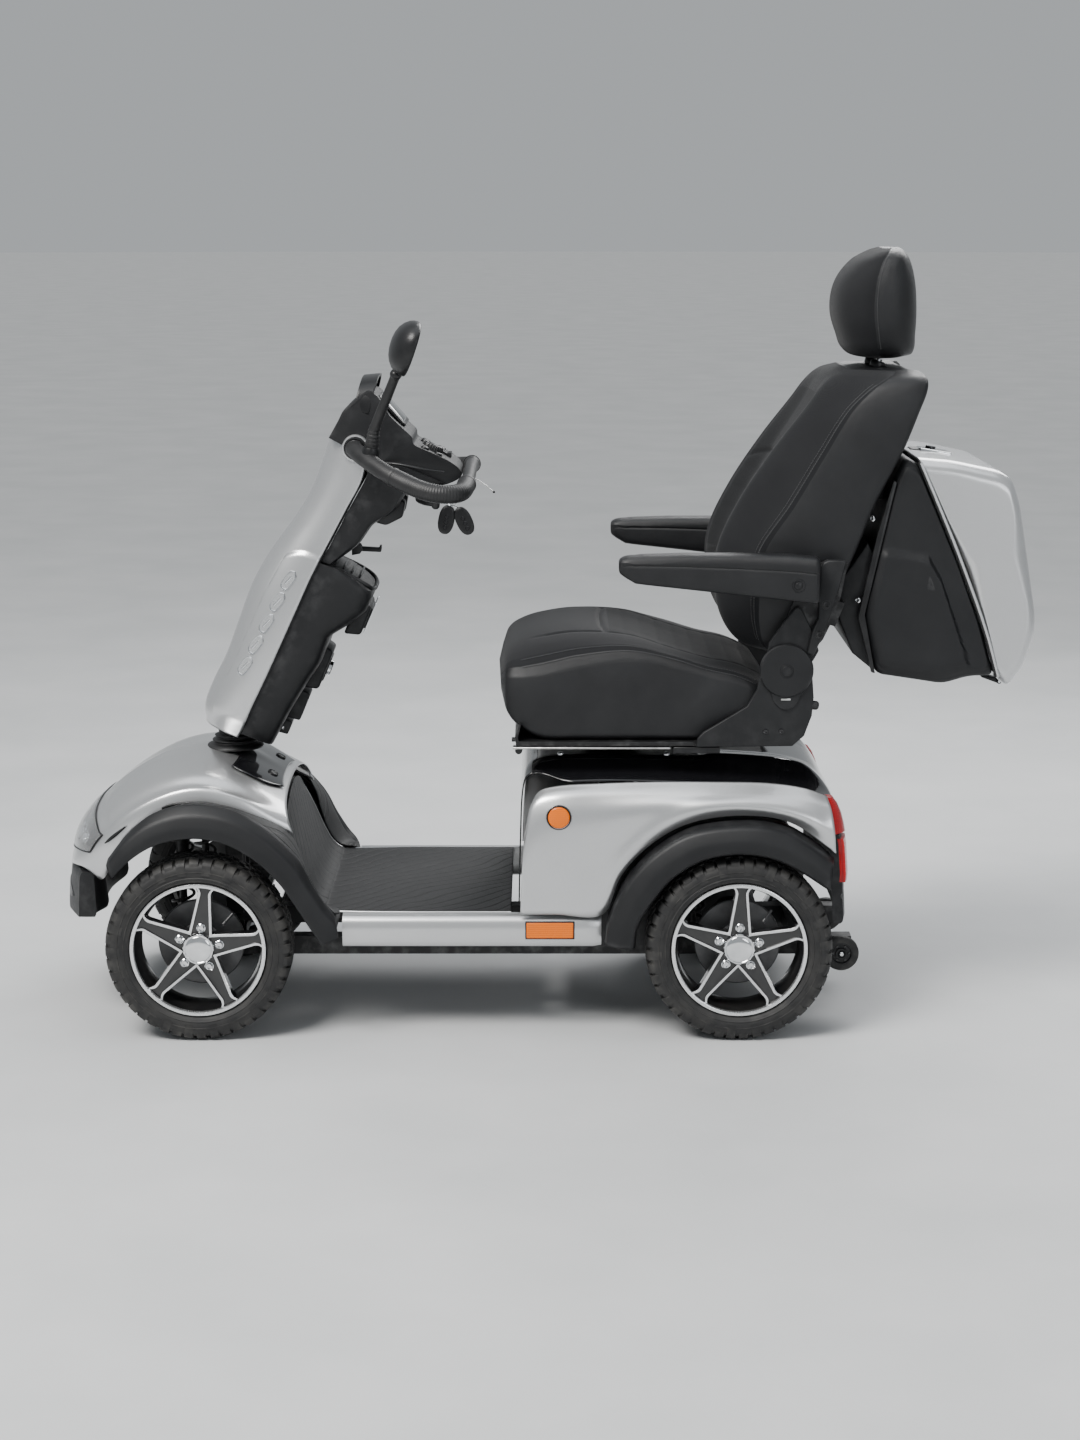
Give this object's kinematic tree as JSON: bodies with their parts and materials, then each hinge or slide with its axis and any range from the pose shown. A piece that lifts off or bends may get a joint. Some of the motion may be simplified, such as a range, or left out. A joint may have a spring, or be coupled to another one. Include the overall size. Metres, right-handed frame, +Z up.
{
  "type": "mobility scooter",
  "caption": "Road mobility scooter with tilting tiller and wrap-round handlebar, swivelling reclining seat with armrests and headrest, storage box behind the backrest, alloy wheels and a flat foot deck.",
  "frame": {"origin": "bottom centre of the bounding box, on the ground between the wheels", "axes": "+Z up, +Y toward the rear, -Y is the front, +X is the scooter's left side, which faces the camera"},
  "size_m": [0.691, 1.898, 1.5],
  "materials": {
    "silver_paint": "metallic silver paint on moulded panels",
    "textured_black": "fine grained black plastic",
    "gloss_black": "polished black",
    "mat_rubber": "matt black rubber",
    "tyre_rubber": "treaded pneumatic tyre",
    "alloy": "black alloy with machined edges",
    "black_steel": "black powder coat",
    "zinc_steel": "zinc plated",
    "seat_fabric": "black woven fabric with vinyl sides",
    "arm_pad": "leather-grain soft plastic",
    "battery_case": "moulded case",
    "amber_lens": "prismatic reflector",
    "red_lens": "translucent red lens",
    "clear_lens": "clear polycarbonate"
  },
  "bodies": {
    "chassis": {"chassis_frame": "black_steel", "battery_pack": "battery_case", "transaxle": "alloy", "seat_post": "textured_black", "front_cowl": "silver_paint", "headlight_lens": "clear_lens", "charge_panel": "gloss_black", "front_bumper": "textured_black", "front_fender_left": "textured_black", "front_fender_right": "textured_black", "floor_mat": "mat_rubber", "floor_pan": "textured_black", "sill_left": "silver_paint", "sill_right": "silver_paint", "rear_panel_left": "silver_paint", "rear_panel_right": "silver_paint", "rear_top_cover": "gloss_black", "rear_fender_left": "textured_black", "rear_fender_right": "textured_black", "rear_bumper": "textured_black", "tail_light_left": "red_lens", "tail_light_right": "red_lens", "side_reflector_left": "amber_lens", "side_reflector_right": "amber_lens"},
    "steering_stem": {"steering_column": "black_steel", "tiller_bellows": "mat_rubber"},
    "knuckle_l": {"knuckle_left": "black_steel"},
    "knuckle_r": {"knuckle_right": "black_steel"},
    "tie": {"tie_rod": "zinc_steel"},
    "wheel_fl": {"tyre_front_left": "tyre_rubber", "rim_front_left": "alloy"},
    "wheel_fr": {"tyre_front_right": "tyre_rubber", "rim_front_right": "alloy"},
    "wheel_rl": {"tyre_rear_left": "tyre_rubber", "rim_rear_left": "alloy"},
    "wheel_rr": {"tyre_rear_right": "tyre_rubber", "rim_rear_right": "alloy"},
    "anti_tip_l": {"anti_tip_wheel_left": "mat_rubber"},
    "anti_tip_r": {"anti_tip_wheel_right": "mat_rubber"},
    "tiller": {"tiller_front_shell": "silver_paint", "tiller_rear_shell": "textured_black", "head_console": "textured_black", "handlebar": "mat_rubber"},
    "mirror_l": {"mirror_left": "textured_black"},
    "throttle": {"throttle_lever": "textured_black"},
    "knob": {"speed_knob": "textured_black"},
    "ignition": {"key": "zinc_steel"},
    "fobs": {"key_fobs": "textured_black"},
    "hook": {"bag_hook": "textured_black"},
    "turntable": {"seat_turntable": "zinc_steel"},
    "seat": {"seat_pan": "black_steel", "seat_cushion": "seat_fabric"},
    "backrest": {"backrest_frame": "black_steel", "backrest_cushion": "seat_fabric", "box_base": "textured_black"},
    "head_pad": {"headrest": "seat_fabric"},
    "arm_l": {"armrest_left": "arm_pad"},
    "arm_r": {"armrest_right": "arm_pad"},
    "lid": {"box_lid": "silver_paint"}
  },
  "joints": [
    {"name": "steering", "type": "hinge", "parent": "chassis", "child": "steering_stem", "pos_m": [0, -0.612, 0.365], "axis": [0, 0, 1], "range_deg": [-40, 40]},
    {"name": "steer_left_wheel", "type": "hinge", "parent": "chassis", "child": "knuckle_l", "pos_m": [0.205, -0.655, 0.18], "axis": [0, 0, 1], "range_deg": [-26, 26]},
    {"name": "steer_right_wheel", "type": "hinge", "parent": "chassis", "child": "knuckle_r", "pos_m": [-0.205, -0.655, 0.18], "axis": [0, 0, 1], "range_deg": [-26, 26]},
    {"name": "tie_rod_slide", "type": "slide", "parent": "chassis", "child": "tie", "axis": [1, 0, 0], "range_m": [-0.046, 0.046]},
    {"name": "spin_front_left", "type": "hinge", "parent": "knuckle_l", "child": "wheel_fl", "pos_m": [0.285, -0.655, 0.18], "axis": [1, 0, 0], "continuous": true},
    {"name": "spin_front_right", "type": "hinge", "parent": "knuckle_r", "child": "wheel_fr", "pos_m": [-0.285, -0.655, 0.18], "axis": [1, 0, 0], "continuous": true},
    {"name": "spin_rear_left", "type": "hinge", "parent": "chassis", "child": "wheel_rl", "pos_m": [0.285, 0.382, 0.18], "axis": [1, 0, 0], "continuous": true},
    {"name": "spin_rear_right", "type": "hinge", "parent": "chassis", "child": "wheel_rr", "pos_m": [-0.285, 0.382, 0.18], "axis": [1, 0, 0], "continuous": true},
    {"name": "spin_anti_tip_left", "type": "hinge", "parent": "chassis", "child": "anti_tip_l", "pos_m": [0.148, 0.597, 0.124], "axis": [1, 0, 0], "continuous": true},
    {"name": "spin_anti_tip_right", "type": "hinge", "parent": "chassis", "child": "anti_tip_r", "pos_m": [-0.148, 0.597, 0.124], "axis": [1, 0, 0], "continuous": true},
    {"name": "tiller_tilt", "type": "hinge", "parent": "steering_stem", "child": "tiller", "pos_m": [0, -0.612, 0.532], "axis": [-1, 0, 0], "range_deg": [-20, 0]},
    {"name": "mirror_left_turn", "type": "hinge", "parent": "tiller", "child": "mirror_l", "pos_m": [0.192, -0.3175, 1.13], "axis": [0, 0, 1], "range_deg": [-40, 40]},
    {"name": "throttle", "type": "hinge", "parent": "tiller", "child": "throttle", "pos_m": [0, -0.2325, 1.015], "axis": [0, 0, 1], "range_deg": [-15, 15], "stiffness_Nm_per_rad": 1.2},
    {"name": "speed_dial", "type": "hinge", "parent": "tiller", "child": "knob", "pos_m": [0.045, -0.20476, 1.11244], "axis": [0, 0.3827, 0.9239], "range_deg": [-135, 135]},
    {"name": "ignition_turn", "type": "hinge", "parent": "tiller", "child": "ignition", "pos_m": [0.06, -0.17, 1.03], "axis": [0, 0, 1], "range_deg": [0, 90]},
    {"name": "fob_swing", "type": "hinge", "parent": "ignition", "child": "fobs", "pos_m": [0.06, -0.171, 1.018], "axis": [1, 0, 0], "range_deg": [-30, 30]},
    {"name": "bag_hook_fold", "type": "hinge", "parent": "tiller", "child": "hook", "pos_m": [0, -0.356, 0.912], "axis": [-1, 0, 0], "range_deg": [0, 50]},
    {"name": "seat_swivel", "type": "hinge", "parent": "chassis", "child": "turntable", "pos_m": [0, 0.145, 0.55], "axis": [0, 0, 1], "range_deg": [-90, 90]},
    {"name": "seat_slide", "type": "slide", "parent": "turntable", "child": "seat", "axis": [0, -1, 0], "range_m": [-0.06, 0.06]},
    {"name": "backrest_recline", "type": "hinge", "parent": "seat", "child": "backrest", "pos_m": [0, 0.466, 0.711], "axis": [1, 0, 0], "range_deg": [-15, 20]},
    {"name": "headrest_height", "type": "slide", "parent": "backrest", "child": "head_pad", "axis": [0, 0.3077, 0.9515], "range_m": [0, 0.06]},
    {"name": "armrest_left_lift", "type": "hinge", "parent": "backrest", "child": "arm_l", "pos_m": [0.2995, 0.482, 0.884], "axis": [1, 0, 0], "range_deg": [-100, 0]},
    {"name": "armrest_right_lift", "type": "hinge", "parent": "backrest", "child": "arm_r", "pos_m": [-0.2995, 0.482, 0.884], "axis": [1, 0, 0], "range_deg": [-100, 0]},
    {"name": "box_lid_open", "type": "hinge", "parent": "backrest", "child": "lid", "pos_m": [0, 0.8895, 0.6745], "axis": [-1, 0, 0], "range_deg": [0, 75]}
  ],
  "couplings": [
    {"joint": "steer_left_wheel", "follows": "steering", "ratio": 0.6},
    {"joint": "steer_right_wheel", "follows": "steering", "ratio": 0.6},
    {"joint": "tie_rod_slide", "follows": "steering", "m_per_rad": -0.0625}
  ]
}
